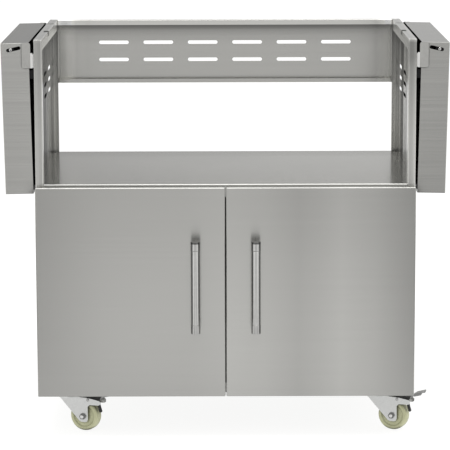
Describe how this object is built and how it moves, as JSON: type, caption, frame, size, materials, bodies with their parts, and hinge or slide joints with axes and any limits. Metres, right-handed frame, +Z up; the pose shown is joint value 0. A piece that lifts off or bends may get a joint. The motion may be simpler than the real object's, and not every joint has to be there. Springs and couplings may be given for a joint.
{
  "type": "grill cart",
  "caption": "Open-topped stainless grill cart: cabinet with hinged bar-handled doors, open bay with vented walls for a drop-in grill, folding side shelves and swivel casters.",
  "frame": {"origin": "floor level under the middle of the bounding box", "axes": "+X to the right seen from the front, +Y to the back, +Z up; the doors face -Y"},
  "size_m": [1.0716, 0.6563, 0.974],
  "materials": {
    "frame_sheet": "brushed",
    "door_sheet": "brushed",
    "handle_steel": "satin",
    "shelf_sheet": "brushed",
    "bracket_steel": "satin",
    "fastener_steel": "bright",
    "black_steel": "satin",
    "strike_steel": "satin",
    "zinc_steel": "zinc plated",
    "pedal_steel": "zinc plated",
    "wheel_nylon": "satin",
    "nylon": "matte",
    "magnet": "matte",
    "rubber": "matte"
  },
  "bodies": {
    "cart": {"side_panel_left": "frame_sheet", "side_panel_right": "frame_sheet", "back_panel_upper": "frame_sheet", "back_panel_lower": "frame_sheet", "bay_floor": "frame_sheet", "front_rail": "frame_sheet", "base_panel": "frame_sheet", "door_pivot_tabs": "bracket_steel", "door_magnets": "magnet", "door_bumpers": "rubber", "shelf_left_brackets": "bracket_steel", "shelf_right_brackets": "bracket_steel", "shelf_left_arms": "black_steel", "shelf_right_arms": "black_steel", "shelf_left_pivot_pins": "fastener_steel", "shelf_right_pivot_pins": "fastener_steel", "shelf_bracket_screws": "fastener_steel", "shelf_pads": "rubber", "caster_plates": "zinc_steel", "caster_bolts": "fastener_steel"},
    "door_left": {"door_left_skin": "door_sheet", "door_left_liner": "door_sheet", "door_left_bushes": "nylon", "door_left_handle_bar": "handle_steel", "door_left_handle_posts": "handle_steel", "door_left_handle_screws": "fastener_steel", "door_left_strike": "strike_steel"},
    "door_right": {"door_right_skin": "door_sheet", "door_right_liner": "door_sheet", "door_right_bushes": "nylon", "door_right_handle_bar": "handle_steel", "door_right_handle_posts": "handle_steel", "door_right_handle_screws": "fastener_steel", "door_right_strike": "strike_steel"},
    "shelf_left": {"shelf_left_pan": "shelf_sheet", "shelf_left_stiffener": "shelf_sheet"},
    "shelf_right": {"shelf_right_pan": "shelf_sheet", "shelf_right_stiffener": "shelf_sheet"},
    "caster_front_left": {"caster_front_left_fork": "zinc_steel", "caster_front_left_axle": "fastener_steel"},
    "caster_front_left_wheel": {"caster_front_left_wheel": "wheel_nylon"},
    "caster_front_left_brake": {"caster_front_left_pedal": "pedal_steel", "caster_front_left_brake_shoe": "rubber"},
    "caster_front_right": {"caster_front_right_fork": "zinc_steel", "caster_front_right_axle": "fastener_steel"},
    "caster_front_right_wheel": {"caster_front_right_wheel": "wheel_nylon"},
    "caster_front_right_brake": {"caster_front_right_pedal": "pedal_steel", "caster_front_right_brake_shoe": "rubber"},
    "caster_rear_left": {"caster_rear_left_fork": "zinc_steel", "caster_rear_left_axle": "fastener_steel"},
    "caster_rear_left_wheel": {"caster_rear_left_wheel": "wheel_nylon"},
    "caster_rear_right": {"caster_rear_right_fork": "zinc_steel", "caster_rear_right_axle": "fastener_steel"},
    "caster_rear_right_wheel": {"caster_rear_right_wheel": "wheel_nylon"}
  },
  "joints": [
    {"name": "door_left_hinge", "type": "hinge", "parent": "cart", "child": "door_left", "pos_m": [-0.45, -0.26485, 0.364], "axis": [0, 0, -1], "range_deg": [0, 105]},
    {"name": "door_right_hinge", "type": "hinge", "parent": "cart", "child": "door_right", "pos_m": [0.45, -0.26485, 0.364], "axis": [0, 0, 1], "range_deg": [0, 105]},
    {"name": "shelf_left_fold", "type": "hinge", "parent": "cart", "child": "shelf_left", "pos_m": [-0.5115, 0, 0.95], "axis": [0, 1, 0], "range_deg": [0, 91.1]},
    {"name": "shelf_right_fold", "type": "hinge", "parent": "cart", "child": "shelf_right", "pos_m": [0.5115, 0, 0.95], "axis": [0, -1, 0], "range_deg": [0, 91.1]},
    {"name": "caster_front_left_swivel", "type": "hinge", "parent": "cart", "child": "caster_front_left", "pos_m": [-0.381, -0.15685, 0.1], "axis": [0, 0, 1], "continuous": true},
    {"name": "caster_front_left_roll", "type": "hinge", "parent": "caster_front_left", "child": "caster_front_left_wheel", "pos_m": [-0.34647, -0.17222, 0.0375], "axis": [0.4067, 0.9135, 0], "continuous": true},
    {"name": "caster_front_left_brake_press", "type": "hinge", "parent": "caster_front_left", "child": "caster_front_left_brake", "pos_m": [-0.33395, -0.1778, 0.0795], "axis": [0.4067, 0.9135, 0], "range_deg": [0, 7]},
    {"name": "caster_front_right_swivel", "type": "hinge", "parent": "cart", "child": "caster_front_right", "pos_m": [0.381, -0.15685, 0.1], "axis": [0, 0, 1], "continuous": true},
    {"name": "caster_front_right_roll", "type": "hinge", "parent": "caster_front_right", "child": "caster_front_right_wheel", "pos_m": [0.41553, -0.17222, 0.0375], "axis": [0.4067, 0.9135, 0], "continuous": true},
    {"name": "caster_front_right_brake_press", "type": "hinge", "parent": "caster_front_right", "child": "caster_front_right_brake", "pos_m": [0.42805, -0.1778, 0.0795], "axis": [0.4067, 0.9135, 0], "range_deg": [0, 7]},
    {"name": "caster_rear_left_swivel", "type": "hinge", "parent": "cart", "child": "caster_rear_left", "pos_m": [-0.381, 0.23315, 0.1], "axis": [0, 0, 1], "continuous": true},
    {"name": "caster_rear_left_roll", "type": "hinge", "parent": "caster_rear_left", "child": "caster_rear_left_wheel", "pos_m": [-0.36807, 0.26867, 0.0375], "axis": [-0.9397, 0.342, 0], "continuous": true},
    {"name": "caster_rear_right_swivel", "type": "hinge", "parent": "cart", "child": "caster_rear_right", "pos_m": [0.381, 0.23315, 0.1], "axis": [0, 0, 1], "continuous": true},
    {"name": "caster_rear_right_roll", "type": "hinge", "parent": "caster_rear_right", "child": "caster_rear_right_wheel", "pos_m": [0.39393, 0.26867, 0.0375], "axis": [-0.9397, 0.342, 0], "continuous": true}
  ]
}
